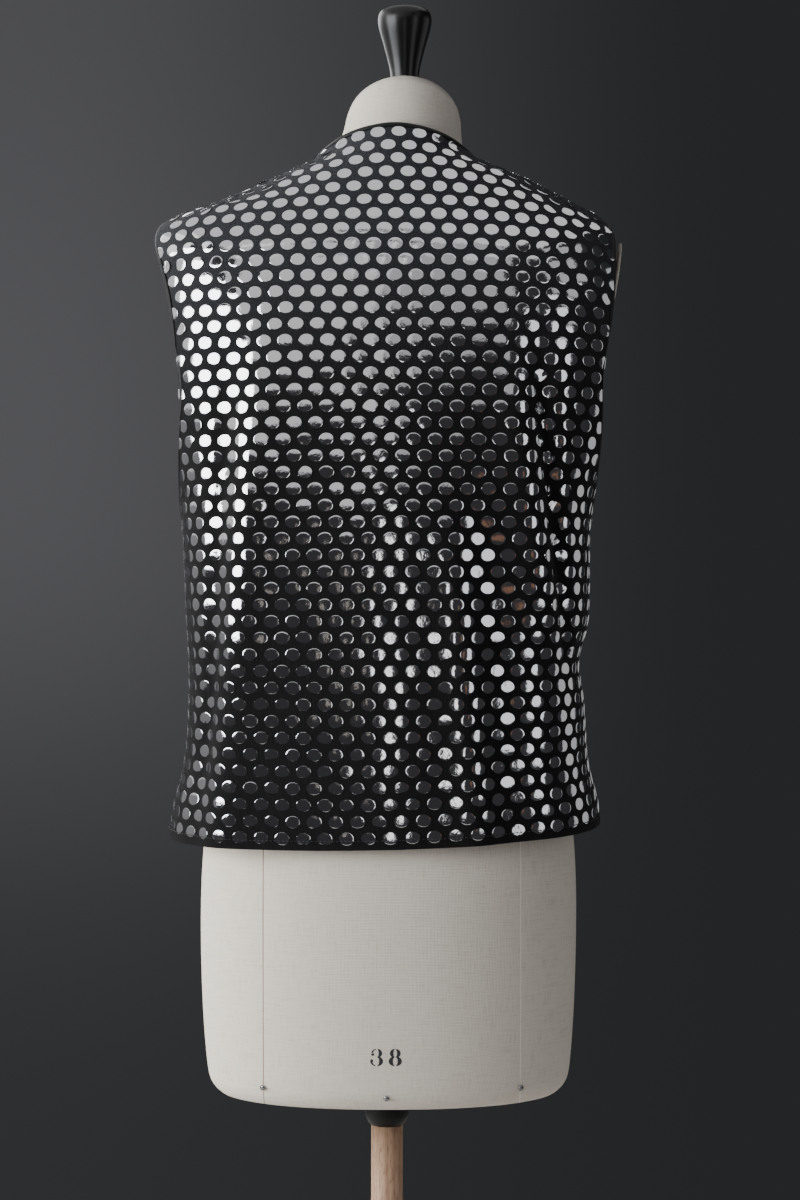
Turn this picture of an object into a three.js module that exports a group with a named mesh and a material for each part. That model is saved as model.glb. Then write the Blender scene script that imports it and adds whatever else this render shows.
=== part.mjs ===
import * as THREE from "three";

// A sleeveless waistcoat on a limbless dress form, in millimetres, +Z up.
// The waistcoat's back faces -Y and its fronts face +Y. Left is -X and right is +X.
// The origin is the middle of the stand's underside.

// Driving sizes of the waistcoat
const clothThickness = 2.0;
const hemExtraThickness = 1.2;
const hemDepth = 10;
const seamGap = 0.3;
const bindingWidth = 4.8;
const bindingGap = 0.4;
const bindingProud = 1.0;
const bindingUnder = 2.3;
const frontGap = 3;
const hemZ = 811;
const armholeBottomZ = 1091;
const shoulderTipZ = 1366;
const neckPointZ = 1422;
const backNeckRise = 17.5;
const vNeckBottomZ = 1255;
const armholeCut = { back: 76, front: 84 };

// Driving sizes of the stand and of the form's fittings
const baseRadius = 190;
const baseHeight = 30;
const poleRadius = 14.5;
const bustBottomZ = 582;
const socketRadius = 20.5;
const socketDepth = 30;
const neckTopZ = 1454;
const neckTopSlope = 0.65;
const armPlate = { thickness: 2.5, halfWidth: 34, halfHeight: 41, middleZ: 1305, tilt: 10 / 63 };
const armEnd = { left: { x: 176.2, z: 1350 }, right: { x: 208.2, z: 1340 } };
const armEndLowZ = 1240;

// Level sections of the waistcoat. Each reaches left and right from X = 0, and back and front
// from Y = 0. Middle is the X of its highest back and front points, and square is the exponent
// of its curve, where 2 is an ellipse and more is boxier.
const coatSections = [
  { z: 811, middle: 0, left: 196, right: 193, back: 125, front: 136, square: 2.7 },
  { z: 844, middle: 0, left: 190, right: 189, back: 124.5, front: 136, square: 2.7 },
  { z: 880, middle: 0, left: 181, right: 180, back: 124, front: 136, square: 2.8 },
  { z: 934, middle: 0, left: 177, right: 176, back: 123.5, front: 136, square: 2.9 },
  { z: 970, middle: 0, left: 177, right: 171.5, back: 123, front: 136, square: 3.0 },
  { z: 1006, middle: 0, left: 179, right: 180, back: 122, front: 136, square: 3.0 },
  { z: 1091, middle: 0, left: 183, right: 182, back: 121, front: 137, square: 3.0 },
  { z: 1132, middle: 1, left: 188.5, right: 190.5, back: 120, front: 137, square: 2.9 },
  { z: 1168, middle: 1, left: 196, right: 202, back: 120, front: 137, square: 2.7 },
  { z: 1240, middle: 2, left: 207.5, right: 216, back: 118, front: 134, square: 2.5 },
  { z: 1295, middle: 3, left: 211.5, right: 220, back: 113, front: 120, square: 2.4 },
  { z: 1331, middle: 4, left: 216, right: 214.5, back: 106, front: 106, square: 2.3 },
  { z: 1349, middle: 4, left: 215.5, right: 210.5, back: 101, front: 98, square: 2.1 },
  { z: 1366, middle: 5, left: 195, right: 194, back: 95, front: 90, square: 2.0 },
  { z: 1381, middle: 5, left: 153, right: 167, back: 88, front: 82, square: 2.0 },
  { z: 1402, middle: 6, left: 104, right: 125, back: 79, front: 71, square: 2.0 },
  { z: 1422, middle: 7, left: 63.5, right: 79, back: 69, front: 61, square: 2.0 },
  { z: 1440, middle: 7, left: 57, right: 73, back: 60, front: 53, square: 2.0 },
];

// Level sections of the dress form, in the same columns
const formSections = [
  { z: 582, middle: 1, left: 146, right: 149, back: 96, front: 90, square: 2.2 },
  { z: 588, middle: 1, left: 155, right: 158, back: 104, front: 97, square: 2.2 },
  { z: 600, middle: 1, left: 161, right: 164, back: 110, front: 101, square: 2.2 },
  { z: 660, middle: 1, left: 166.5, right: 169, back: 115, front: 104, square: 2.2 },
  { z: 740, middle: 1, left: 168.6, right: 171.3, back: 118, front: 106, square: 2.2 },
  { z: 800, middle: 1, left: 166.4, right: 170, back: 116, front: 106, square: 2.2 },
  { z: 850, middle: 1, left: 160, right: 164, back: 108, front: 104, square: 2.2 },
  { z: 900, middle: 2, left: 148, right: 152, back: 98, front: 99, square: 2.1 },
  { z: 960, middle: 2, left: 128, right: 133, back: 88, front: 92, square: 2.1 },
  { z: 1010, middle: 3, left: 116, right: 122, back: 84, front: 90, square: 2.1 },
  { z: 1060, middle: 4, left: 119, right: 127, back: 88, front: 94, square: 2.1 },
  { z: 1120, middle: 6, left: 130, right: 141, back: 96, front: 106, square: 2.1 },
  { z: 1180, middle: 7, left: 141, right: 155, back: 105, front: 116, square: 2.1 },
  { z: 1225, middle: 8, left: 147, right: 163, back: 109, front: 117, square: 2.1 },
  { z: 1245, middle: 9, left: 158, right: 182, back: 109, front: 114, square: 2.1 },
  { z: 1268, middle: 10, left: 176, right: 202, back: 104, front: 104, square: 2.1 },
  { z: 1300, middle: 11, left: 184, right: 210, back: 97, front: 95, square: 2.1 },
  { z: 1318, middle: 11, left: 187, right: 209, back: 93, front: 90, square: 2.05 },
  { z: 1335, middle: 12, left: 188, right: 208.5, back: 89, front: 84, square: 2.0 },
  { z: 1350, middle: 12, left: 190, right: 203, back: 86, front: 80, square: 1.95 },
  { z: 1362, middle: 12, left: 185, right: 192, back: 80, front: 74, square: 1.9 },
  { z: 1378, middle: 12, left: 152, right: 164, back: 72, front: 67, square: 1.9 },
  { z: 1399, middle: 12, left: 101, right: 122, back: 63, front: 58, square: 1.9 },
  { z: 1419, middle: 13, left: 61, right: 74, back: 55, front: 52, square: 1.95 },
  { z: 1426, middle: 15, left: 45, right: 68, back: 53, front: 51.5, square: 2.0 },
  { z: 1440, middle: 15.5, left: 38, right: 67, back: 52, front: 51, square: 2.0 },
  { z: 1454, middle: 16, left: 36, right: 66.5, back: 51.5, front: 51, square: 2.0 },
];

// Soft folds. Along is the distance from the centre line along the cloth, positive to the
// right, at the fold's upper and lower end. Bow pushes its middle sideways. Height is how far
// it stands out of the cloth, negative for a trough.
const backFolds = [
  { topZ: 1285, lowZ: 870, topAlong: -139, lowAlong: -172, bow: 6, width: 12, height: -5 },
  { topZ: 1270, lowZ: 800, topAlong: -109, lowAlong: -148, bow: 2, width: 22, height: 6 },
  { topZ: 1285, lowZ: 1000, topAlong: 128, lowAlong: 166, bow: -4, width: 10, height: -7 },
  { topZ: 1240, lowZ: 1040, topAlong: 106, lowAlong: 138, bow: -3, width: 17, height: 5 },
  { topZ: 1130, lowZ: 800, topAlong: 50, lowAlong: 80, bow: 3, width: 19, height: 6 },
  { topZ: 1150, lowZ: 800, topAlong: 88, lowAlong: 112, bow: 0, width: 28, height: -4.5 },
  { topZ: 1250, lowZ: 790, topAlong: 4, lowAlong: 10, bow: 0, width: 58, height: 5 },
];
const frontFolds = [
  { topZ: 1190, lowZ: 790, topAlong: -92, lowAlong: -112, bow: 5, width: 24, height: 8 },
  { topZ: 1230, lowZ: 860, topAlong: -150, lowAlong: -158, bow: -6, width: 15, height: -8 },
  { topZ: 1150, lowZ: 800, topAlong: -48, lowAlong: -58, bow: 3, width: 17, height: -6 },
  { topZ: 1200, lowZ: 790, topAlong: 84, lowAlong: 98, bow: -5, width: 26, height: 7 },
  { topZ: 1225, lowZ: 900, topAlong: 148, lowAlong: 166, bow: 5, width: 16, height: -8 },
  { topZ: 1110, lowZ: 790, topAlong: 44, lowAlong: 50, bow: -3, width: 15, height: -5 },
];

// Rows and columns of the cloth and of the form
const backColumns = 34;
const frontColumns = 15;
const bodyRows = 15;
const armholeRows = 12;
const shoulderRows = 4;
const formColumns = 36;
const sectionSteps = 40;

const black = 0x1b1b1d;
const cream = 0xd9d6cd;
const clothMaterial = new THREE.MeshStandardMaterial({ color: black, roughness: 0.8 });
const bindingMaterial = new THREE.MeshStandardMaterial({ color: 0x232325, roughness: 0.45 });
const canvasMaterial = new THREE.MeshStandardMaterial({ color: cream, roughness: 0.9 });
const lacquerMaterial = new THREE.MeshStandardMaterial({ color: 0x101011, roughness: 0.15 });
const nailMaterial = new THREE.MeshStandardMaterial({
  color: 0x9a9a9c,
  roughness: 0.3,
  metalness: 1,
});
const socketMaterial = new THREE.MeshStandardMaterial({ color: 0x151516, roughness: 0.5 });
const beechMaterial = new THREE.MeshStandardMaterial({ color: 0xb9987a, roughness: 0.55 });

// Curves and tables

function clamp(value, low, high) {
  return Math.min(Math.max(value, low), high);
}

function mix(low, high, t) {
  return low + (high - low) * t;
}

function smooth(t) {
  const u = clamp(t, 0, 1);
  return u * u * (3 - 2 * u);
}

function evenSteps(low, high, steps) {
  return Array.from({ length: steps + 1 }, (_, i) => mix(low, high, i / steps));
}

// One column of a section table at height z, on a smooth curve through the rows
function columnAt(table, column, z) {
  const last = table.length - 1;
  const slope = (row) => {
    const below = table[Math.max(row - 1, 0)];
    const above = table[Math.min(row + 1, last)];
    return (above[column] - below[column]) / (above.z - below.z);
  };
  let row = 0;
  while (row < last - 1 && z > table[row + 1].z) row += 1;
  const low = table[row];
  const high = table[row + 1];
  const step = high.z - low.z;
  const t = clamp((z - low.z) / step, 0, 1);
  const rise = smooth(t);
  const leaving = t * (1 - t) * (1 - t) * step * slope(row);
  const arriving = t * t * (t - 1) * step * slope(row + 1);
  return mix(low[column], high[column], rise) + leaving + arriving;
}

// A quarter of the waistcoat's section at height z: its reach, depth and length along the cloth
const quarters = new Map();

function coatQuarter(face, side, z) {
  const key = `${face} ${side} ${z.toFixed(4)}`;
  if (quarters.has(key)) return quarters.get(key);
  const middle = columnAt(coatSections, "middle", z);
  const sideReach = columnAt(coatSections, side < 0 ? "left" : "right", z);
  const reach = sideReach - side * middle;
  const depth = columnAt(coatSections, face, z);
  const power = 2 / columnAt(coatSections, "square", z);
  const lengths = [0];
  let previous = [0, depth];
  for (let i = 1; i <= sectionSteps; i += 1) {
    const angle = (i / sectionSteps) * (Math.PI / 2);
    const here = [reach * Math.sin(angle) ** power, depth * clamp(Math.cos(angle), 0, 1) ** power];
    lengths.push(lengths[i - 1] + Math.hypot(here[0] - previous[0], here[1] - previous[1]));
    previous = here;
  }
  const quarter = { middle, reach, depth, power, lengths, length: lengths[sectionSteps] };
  quarters.set(key, quarter);
  return quarter;
}

function angleAlong(quarter, share) {
  const target = clamp(share, 0, 1) * quarter.length;
  let i = 1;
  while (i < sectionSteps && quarter.lengths[i] < target) i += 1;
  const part = (target - quarter.lengths[i - 1]) / (quarter.lengths[i] - quarter.lengths[i - 1]);
  return ((i - 1 + part) / sectionSteps) * (Math.PI / 2);
}

// How far the folds move the cloth outwards at this distance along it and this height
function foldHeight(face, along, edgeDistance, z) {
  const folds = face === "back" ? backFolds : frontFolds;
  let height = 0;
  for (const fold of folds) {
    const t = (fold.topZ - z) / (fold.topZ - fold.lowZ);
    const middle = mix(fold.topAlong, fold.lowAlong, t) + fold.bow * Math.sin(Math.PI * clamp(t, 0, 1));
    const offset = (along - middle) / fold.width;
    const fade = smooth(t / 0.35) * smooth((1.25 - t) / 0.4);
    height += fold.height * Math.exp(-offset * offset) * fade;
  }
  return height * smooth((edgeDistance - 4) / 26);
}

// A point of the cloth's outer face. Share is its place across the panel: 0 at the centre line,
// -1 at the left side seam and 1 at the right one, or at the ridge of the shoulder.
function coatPoint(face, share, z) {
  const side = share < 0 ? -1 : 1;
  const quarter = coatQuarter(face, side, z);
  const angle = angleAlong(quarter, Math.abs(share));
  const sine = Math.sin(angle);
  const cosine = clamp(Math.cos(angle), 0, 1);
  const outX = sine ** (2 - quarter.power) / quarter.reach;
  const outY = cosine ** (2 - quarter.power) / quarter.depth;
  const edgeDistance = (1 - Math.abs(share)) * quarter.length;
  const lift = foldHeight(face, share * quarter.length, edgeDistance, z) / Math.hypot(outX, outY);
  const x = quarter.reach * sine ** quarter.power + lift * outX;
  const y = quarter.depth * cosine ** quarter.power + lift * outY;
  return new THREE.Vector3(quarter.middle + side * x, face === "back" ? -y : y, z);
}

// The same point with the direction that points out of the cloth. At a seam it lies in the
// plane of the seam, so that the two walls there end face to face.
function coatSpot(face, share, z) {
  const point = coatPoint(face, share, z);
  const nudge = 0.004;
  const right = coatPoint(face, clamp(share + nudge, -1, 1), z);
  const left = coatPoint(face, clamp(share - nudge, -1, 1), z);
  const up = coatPoint(face, share, z + 1.5).sub(coatPoint(face, share, z - 1.5));
  const normal = right.sub(left).cross(up).normalize();
  if (face === "front") normal.negate();
  if (Math.abs(point.y) < 1) normal.setY(0).normalize();
  return { point, normal };
}

// Closed solids from points

function closedGeometry(points, triangles) {
  const a = new THREE.Vector3();
  let volume = 0;
  for (const [i, j, k] of triangles) {
    volume += a.copy(points[i]).cross(points[j]).dot(points[k]);
  }
  const ordered = volume < 0 ? triangles.map(([i, j, k]) => [i, k, j]) : triangles;
  const geometry = new THREE.BufferGeometry();
  geometry.setFromPoints(points);
  geometry.setIndex(ordered.flat());
  geometry.computeVertexNormals();
  return geometry;
}

// A wall between an outer and an inner grid of points, closed along its four edges
function wallGeometry(outer, inner) {
  const rows = outer.length;
  const columns = outer[0].length;
  const points = [...outer.flat(), ...inner.flat()];
  const triangles = [];
  const outerAt = (row, column) => row * columns + column;
  const innerAt = (row, column) => rows * columns + outerAt(row, column);
  const quad = (a, b, c, d) => triangles.push([a, b, c], [a, c, d]);
  for (let row = 0; row < rows - 1; row += 1) {
    for (let column = 0; column < columns - 1; column += 1) {
      quad(
        outerAt(row, column),
        outerAt(row, column + 1),
        outerAt(row + 1, column + 1),
        outerAt(row + 1, column),
      );
      quad(
        innerAt(row + 1, column),
        innerAt(row + 1, column + 1),
        innerAt(row, column + 1),
        innerAt(row, column),
      );
    }
  }
  const rim = [];
  for (let column = 0; column < columns - 1; column += 1) rim.push([0, column]);
  for (let row = 0; row < rows - 1; row += 1) rim.push([row, columns - 1]);
  for (let column = columns - 1; column > 0; column -= 1) rim.push([rows - 1, column]);
  for (let row = rows - 1; row > 0; row -= 1) rim.push([row, 0]);
  rim.forEach(([row, column], i) => {
    const [nextRow, nextColumn] = rim[(i + 1) % rim.length];
    quad(
      innerAt(row, column),
      innerAt(nextRow, nextColumn),
      outerAt(nextRow, nextColumn),
      outerAt(row, column),
    );
  });
  return closedGeometry(points, triangles);
}

// Rings of points joined one to the next. Each end is closed on a middle point, or the last
// ring is joined to the first.
function ringGeometry(rings, joined = false) {
  const count = rings[0].length;
  const points = rings.flat();
  const triangles = [];
  const bands = joined ? rings.length : rings.length - 1;
  for (let ring = 0; ring < bands; ring += 1) {
    const low = ring * count;
    const high = ((ring + 1) % rings.length) * count;
    for (let i = 0; i < count; i += 1) {
      const next = (i + 1) % count;
      triangles.push([low + i, low + next, high + next], [low + i, high + next, high + i]);
    }
  }
  if (!joined) {
    for (const [ring, turned] of [[0, true], [rings.length - 1, false]]) {
      const middle = new THREE.Vector3();
      rings[ring].forEach((point) => middle.addScaledVector(point, 1 / count));
      points.push(middle);
      const start = ring * count;
      for (let i = 0; i < count; i += 1) {
        const next = (i + 1) % count;
        const fan = [start + i, start + next, points.length - 1];
        triangles.push(turned ? [fan[1], fan[0], fan[2]] : fan);
      }
    }
  }
  return closedGeometry(points, triangles);
}

function turnedGeometry(profile, segments) {
  const outline = profile.map(([radius, z]) => new THREE.Vector2(radius, z));
  return new THREE.LatheGeometry(outline, segments).rotateX(Math.PI / 2);
}

// The waistcoat's panels

// Rows of the cloth below the armhole, beside it and over the shoulder, by the height of their
// outer ends. Those beside the armhole crowd at its two ends, where its edge turns.
function panelLevels() {
  const below = [hemZ, ...evenSteps(hemZ + hemDepth, armholeBottomZ, bodyRows)];
  const middle = (armholeBottomZ + shoulderTipZ) / 2;
  const half = (shoulderTipZ - armholeBottomZ) / 2;
  const beside = evenSteps(0, Math.PI, armholeRows).map((angle) => middle - half * Math.cos(angle));
  const over = evenSteps(shoulderTipZ, neckPointZ, shoulderRows);
  return { below, beside, over };
}

// The share across a panel of its outer edge: the side seam, the armhole or the shoulder seam
function outerShare(face, side, z) {
  const length = coatQuarter(face, side, z).length;
  const middle = (armholeBottomZ + shoulderTipZ) / 2;
  const half = (shoulderTipZ - armholeBottomZ) / 2;
  const height = clamp((z - middle) / half, -1, 1);
  const cut = armholeCut[face] * Math.sqrt(1 - height * height);
  return 1 - Math.max(cut, seamGap / 2) / length;
}

// The share across a front of its inner edge: the front edge, then the slant of the V neck
function innerShare(side, z) {
  const edge = frontGap / 2 + bindingWidth + seamGap;
  const neckLength = coatQuarter("front", side, neckPointZ).length - seamGap / 2;
  const t = clamp((z - vNeckBottomZ) / (neckPointZ - vNeckBottomZ), 0, 1);
  const along = mix(edge, neckLength, t ** 1.25);
  return along / coatQuarter("front", side, z).length;
}

// The hem dips at the centre back and rises to the right side seam
function hemRise(face, share, z) {
  const atHem = face === "back" ? 11 * share * share + 7 * share : 13 - 2 * share * share + 7 * share;
  return atHem * (1 - smooth((z - hemZ) / 170));
}

function panelWall(spots) {
  const outer = spots.map((row) => row.map((spot) => spot.point));
  const inner = spots.map((row) => row.map((spot) => {
    const aboveHem = spot.point.z - hemRise(spot.face, spot.share, spot.level) - hemZ;
    const turnUp = hemExtraThickness * (1 - smooth((aboveHem - hemDepth * 0.8) / 4));
    return spot.point.clone().addScaledVector(spot.normal, -clothThickness - turnUp);
  }));
  return wallGeometry(outer, inner);
}

function backSpots() {
  const { below, beside, over } = panelLevels();
  const levels = [...below, ...beside.slice(1), ...over.slice(1)];
  return levels.map((level) => evenSteps(-1, 1, backColumns).map((across) => {
    const edge = outerShare("back", across < 0 ? -1 : 1, level);
    const share = across * mix(1, edge, Math.abs(across) ** 3);
    const overShoulder = smooth((level - shoulderTipZ) / (neckPointZ - shoulderTipZ));
    const neck = backNeckRise * Math.cos((across * Math.PI) / 2) ** 2 * overShoulder;
    const z = level + hemRise("back", share, level) + neck;
    return { ...coatSpot("back", share, z), face: "back", share, level };
  }));
}

function frontSpots(side) {
  const { below, beside } = panelLevels();
  const rows = below.map((level) => ({ innerZ: level, outerZ: level }));
  beside.slice(1).forEach((level) => {
    const climb = (level - armholeBottomZ) / (shoulderTipZ - armholeBottomZ);
    rows.push({ innerZ: mix(armholeBottomZ, neckPointZ, climb), outerZ: level });
  });
  return rows.map((row) => evenSteps(0, 1, frontColumns).map((across) => {
    const level = mix(row.innerZ, row.outerZ, across);
    const inner = innerShare(side, row.innerZ);
    const outer = outerShare("front", side, row.outerZ);
    const share = side * (mix(inner, 1, across) - (1 - outer) * across ** 3);
    const z = level + hemRise("front", share, level);
    return { ...coatSpot("front", share, z), face: "front", share, level };
  }));
}

// Bindings

// A folded strip that wraps an edge. Each edge spot has a point, an outward normal and the next
// point in from the edge; the strip lies beyond the edge, on the cloth's own surface.
function bindingGeometry(edge, joined = false) {
  const section = [
    [bindingGap, bindingProud],
    [bindingWidth * 0.75, bindingProud],
    [bindingWidth + seamGap, bindingProud * 0.1],
    [bindingWidth + seamGap, -bindingUnder * 0.7],
    [bindingWidth * 0.75, -bindingUnder],
    [bindingGap, -bindingUnder],
  ];
  const count = edge.length;
  const rings = edge.map(({ point, normal, inside, alongY }, i) => {
    const before = edge[joined ? (i + count - 1) % count : Math.max(i - 1, 0)].point;
    const after = edge[joined ? (i + 1) % count : Math.min(i + 1, count - 1)].point;
    const tangent = alongY ? new THREE.Vector3(0, 1, 0) : after.clone().sub(before);
    const out = tangent.cross(normal).normalize();
    if (out.dot(inside.clone().sub(point)) > 0) out.negate();
    return section.map(([along, lift]) =>
      point.clone().addScaledVector(out, along).addScaledVector(normal, lift));
  });
  return ringGeometry(rings, joined);
}

function edgeSpot(row, column, nextColumn, alongY = false) {
  const { point, normal } = row[column];
  return { point, normal, inside: row[nextColumn].point, alongY };
}

function neckEdge(spots) {
  const top = spots[spots.length - 1];
  const under = spots[spots.length - 2];
  return top.map((spot, i) => ({
    point: spot.point,
    normal: spot.normal,
    inside: under[i].point,
    alongY: i === 0 || i === top.length - 1,
  }));
}

function frontEdge(spots) {
  return spots.map((row, i) => edgeSpot(row, 0, 1, i === spots.length - 1));
}

// The armhole runs up the back's edge and down the front's. Its two ends lie on the seams, so
// the back's and the front's points there are joined in the middle of the seam.
function armholeEdge(back, front, side) {
  const { below, beside } = panelLevels();
  const first = below.length - 1;
  const last = first + beside.length - 1;
  const backEnd = side < 0 ? 0 : backColumns;
  const backIn = backEnd + (side < 0 ? 1 : -1);
  const up = [];
  const down = [];
  for (let row = first; row <= last; row += 1) {
    up.push(edgeSpot(back[row], backEnd, backIn));
    down.unshift(edgeSpot(front[row], frontColumns, frontColumns - 1));
  }
  const joinEnds = (spot, other, inside) => {
    const middle = spot.point.clone().add(other.point).multiplyScalar(0.5);
    return { point: middle, normal: spot.normal, inside, alongY: true };
  };
  const tip = joinEnds(up[up.length - 1], down[0], back[last + 1][backEnd].point);
  const bottom = joinEnds(up[0], down[down.length - 1], back[first - 1][backEnd].point);
  return [bottom, ...up.slice(1, -1), tip, ...down.slice(1, -1)];
}

// The dress form

function armEndX(side, z) {
  const end = side < 0 ? armEnd.left : armEnd.right;
  return end.x + (z - end.z) * armPlate.tilt;
}

function formPoint(angle, z) {
  const side = Math.sin(angle) < 0 ? -1 : 1;
  const middle = columnAt(formSections, "middle", z);
  const reach = columnAt(formSections, side < 0 ? "left" : "right", z) - side * middle;
  const face = Math.cos(angle) < 0 ? "front" : "back";
  const power = 2 / columnAt(formSections, "square", z);
  const depth = columnAt(formSections, face, z);
  const free = middle * side + reach * Math.abs(Math.sin(angle)) ** power;
  const x = side * (z > armEndLowZ ? Math.min(free, armEndX(side, z)) : free);
  const y = depth * Math.abs(Math.cos(angle)) ** power;
  const bustOff = (Math.abs(x - middle) - 72) / 40;
  const bust = 13 * Math.exp(-bustOff * bustOff - ((z - 1205) / 50) ** 2);
  return new THREE.Vector3(x, face === "back" ? -y : y + bust, z);
}

function formRing(z) {
  return Array.from({ length: formColumns }, (_, i) => {
    const angle = ((i + 0.5) / formColumns) * 2 * Math.PI;
    return formPoint(angle, z);
  });
}

// The neck's last rings tip over to its slanted top, which is highest at the back
function neckRing(z, tip) {
  return formRing(z).map((point) => point.setZ(mix(point.z, neckTopZ - neckTopSlope * point.y, tip)));
}

function formGeometry() {
  const levels = [
    582, 585, 590, 596, 602, 612, 640, 680, 740, 790, 830, 865, 900, 935, 970, 1010, 1045, 1080,
    1120, 1155, 1190, 1212, 1230, 1245, 1258, 1270, 1290, 1312, 1335, 1350, 1362, 1370, 1378,
    1389, 1399, 1409, 1419,
  ];
  const rings = levels.map(formRing);
  rings.push(neckRing(1426, 0.12), neckRing(1436, 0.45), neckRing(1448, 1));
  return ringGeometry(rings);
}

// An oval board that covers the end of the shoulder
function armPlateGeometry(side) {
  const rings = [];
  const layers = [[0.3, 1], [0.3 + armPlate.thickness * 0.6, 1], [0.3 + armPlate.thickness, 0.94]];
  const raised = side < 0 ? 8 : 0;
  for (const [away, size] of layers) {
    rings.push(Array.from({ length: 28 }, (_, i) => {
      const angle = (i / 28) * 2 * Math.PI;
      const z = armPlate.middleZ + raised + armPlate.halfHeight * size * Math.cos(angle);
      const y = armPlate.halfWidth * size * Math.sin(angle);
      return new THREE.Vector3(side * (armEndX(side, z) + away), y, z);
    }));
  }
  return ringGeometry(rings);
}

// The lacquered finial is turned in one piece. Its foot is sawn to the slant of the neck's top.
function knobGeometry() {
  const profile = [
    [0, 1446], [17, 1446], [17, 1474], [13, 1484], [12.6, 1494], [13.5, 1502], [17, 1516],
    [21, 1530], [24, 1540], [24.7, 1546], [24.2, 1551], [22, 1555], [16, 1558], [0, 1559.5],
  ];
  const geometry = turnedGeometry(profile, 24);
  const place = geometry.getAttribute("position");
  for (let i = 0; i < place.count; i += 1) {
    if (place.getZ(i) < 1447) {
      place.setZ(i, neckTopZ - neckTopSlope * place.getY(i) + seamGap);
    }
  }
  return geometry.translate(16, 0, 0);
}

function socketGeometry() {
  const top = bustBottomZ - seamGap;
  const low = top - socketDepth;
  return turnedGeometry([
    [0, low], [14.8, low], [17.2, low + 2.5], [19.3, low + 6.5], [socketRadius, low + 11],
    [socketRadius, top], [0, top],
  ], 28);
}

function poleGeometry() {
  const top = bustBottomZ - socketDepth - 2 * seamGap;
  return turnedGeometry([
    [0, baseHeight + seamGap], [poleRadius, baseHeight + seamGap], [poleRadius, top], [0, top],
  ], 24);
}

function baseGeometry() {
  return turnedGeometry([
    [0, 0], [baseRadius - 4, 0], [baseRadius, 4], [baseRadius, baseHeight - 12],
    [baseRadius - 3, baseHeight - 6], [baseRadius - 10, baseHeight - 3],
    [baseRadius - 40, baseHeight], [0, baseHeight],
  ], 48);
}

// Dome-headed nails near the form's bottom edge, one on each seam line and one between them
function nailGeometry(x, z) {
  const angle = Math.asin(clamp((x - 1) / 160, -1, 1));
  const seat = formPoint(angle, z);
  const aside = formPoint(angle + 0.02, z).sub(formPoint(angle - 0.02, z));
  const up = formPoint(angle, z + 2).sub(formPoint(angle, z - 2));
  const out = aside.cross(up).normalize();
  if (out.y > 0) out.negate();
  const head = turnedGeometry([[0, 0], [3.1, 0], [2.8, 1], [1.8, 1.9], [0, 2.3]], 10);
  const turn = new THREE.Quaternion().setFromUnitVectors(new THREE.Vector3(0, 0, 1), out);
  return head.applyQuaternion(turn).translate(...seat.addScaledVector(out, seamGap).toArray());
}

// Assembly

const part = new THREE.Group();

function add(name, geometry, material) {
  const mesh = new THREE.Mesh(geometry, material);
  mesh.name = name;
  part.add(mesh);
}

const back = backSpots();
const fronts = { left: frontSpots(-1), right: frontSpots(1) };
add("waistcoat_back", panelWall(back), clothMaterial);
add("neck_binding", bindingGeometry(neckEdge(back)), bindingMaterial);
for (const [name, side] of [["left", -1], ["right", 1]]) {
  const front = fronts[name];
  add(`waistcoat_front_${name}`, panelWall(front), clothMaterial);
  add(`front_binding_${name}`, bindingGeometry(frontEdge(front)), bindingMaterial);
  const armhole = armholeEdge(back, front, side);
  add(`armhole_binding_${name}`, bindingGeometry(armhole, true), bindingMaterial);
  add(`arm_plate_${name}`, armPlateGeometry(side), canvasMaterial);
}
add("form_bust", formGeometry(), canvasMaterial);
add("neck_knob", knobGeometry(), lacquerMaterial);
[[-101.5, 601], [0.5, 596], [110.5, 600]].forEach(([x, z], i) => {
  add(`bottom_nail_${i + 1}`, nailGeometry(x, z), nailMaterial);
});
add("form_socket", socketGeometry(), socketMaterial);
add("stand_pole", poleGeometry(), beechMaterial);
add("stand_base", baseGeometry(), beechMaterial);

export default part;
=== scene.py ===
import math
import random
from functools import lru_cache

import bpy
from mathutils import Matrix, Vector


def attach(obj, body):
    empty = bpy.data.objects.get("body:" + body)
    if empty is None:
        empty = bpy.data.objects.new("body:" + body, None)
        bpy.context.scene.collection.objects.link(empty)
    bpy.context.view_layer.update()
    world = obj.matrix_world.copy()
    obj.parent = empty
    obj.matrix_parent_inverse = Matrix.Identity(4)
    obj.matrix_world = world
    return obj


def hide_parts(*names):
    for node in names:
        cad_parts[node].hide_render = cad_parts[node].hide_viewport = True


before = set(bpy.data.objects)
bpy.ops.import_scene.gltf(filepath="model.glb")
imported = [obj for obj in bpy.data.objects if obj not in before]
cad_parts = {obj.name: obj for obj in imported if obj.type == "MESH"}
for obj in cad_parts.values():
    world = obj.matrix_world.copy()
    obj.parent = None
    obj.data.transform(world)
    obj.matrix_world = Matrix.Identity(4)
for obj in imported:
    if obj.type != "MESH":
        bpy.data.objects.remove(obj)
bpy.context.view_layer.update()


# Camera
# The photograph looks level at the waistcoat's back from 2.3 m away, and its long side of
# 1200 pixels takes in 1.08 m at the pole.
camera_data = bpy.data.cameras.new("camera")
camera_data.sensor_width = 36
camera_data.lens = 76.53
camera = bpy.data.objects.new("camera", camera_data)
camera.location = (0.0117, -2.3, 1.024)
camera.rotation_euler = (math.radians(90), 0, 0)
bpy.context.scene.collection.objects.link(camera)
bpy.context.scene.camera = camera


# Stand base, pole and socket
# A round weighted base and a slim pole, both turned from pale beech and given a clear matt
# varnish, and a black bowl under the form that the pole goes into.
mm = 0.001


def linear(hex_colour):
    """An sRGB colour such as "#c8beb0" as linear red, green, blue and alpha."""
    channels = [int(hex_colour[i:i + 2], 16) / 255 for i in (1, 3, 5)]
    return [c / 12.92 if c <= 0.04045 else ((c + 0.055) / 1.055) ** 2.4 for c in channels] + [1]


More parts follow.
